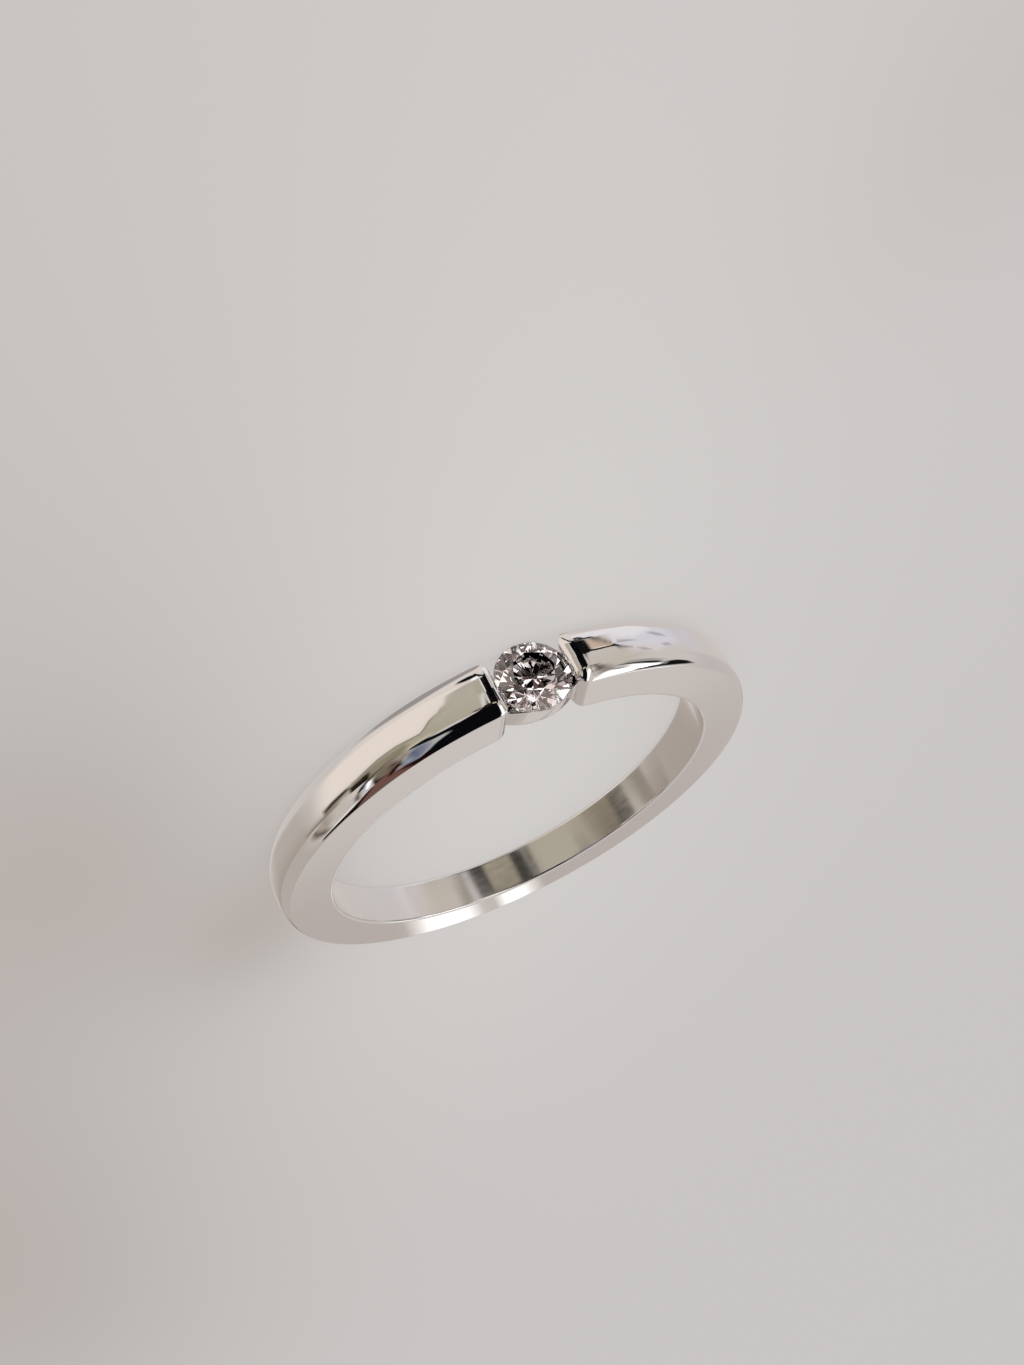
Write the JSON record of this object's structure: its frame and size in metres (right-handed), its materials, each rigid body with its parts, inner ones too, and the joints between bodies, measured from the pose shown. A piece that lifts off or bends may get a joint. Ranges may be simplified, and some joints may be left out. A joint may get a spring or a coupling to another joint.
{
  "type": "wedding ring",
  "caption": "Slim tapered wedding ring in white metal, its gently domed band open at the top around one round brilliant held between the shoulder ends over a short bridge.",
  "frame": {"origin": "middle of the finger hole, on its axis and midway between the two side walls", "axes": "+Z along the finger hole's axis, upward as the ring lies on its side; -Y from the origin towards the stone; +X completes the right-handed frame"},
  "size_m": [0.0206, 0.0205, 0.0028],
  "materials": {
    "white_metal": "mirror polished white gold",
    "brilliant": "colourless, polished facets"
  },
  "bodies": {
    "root": {"band": "white_metal", "stone": "brilliant"}
  },
  "joints": []
}
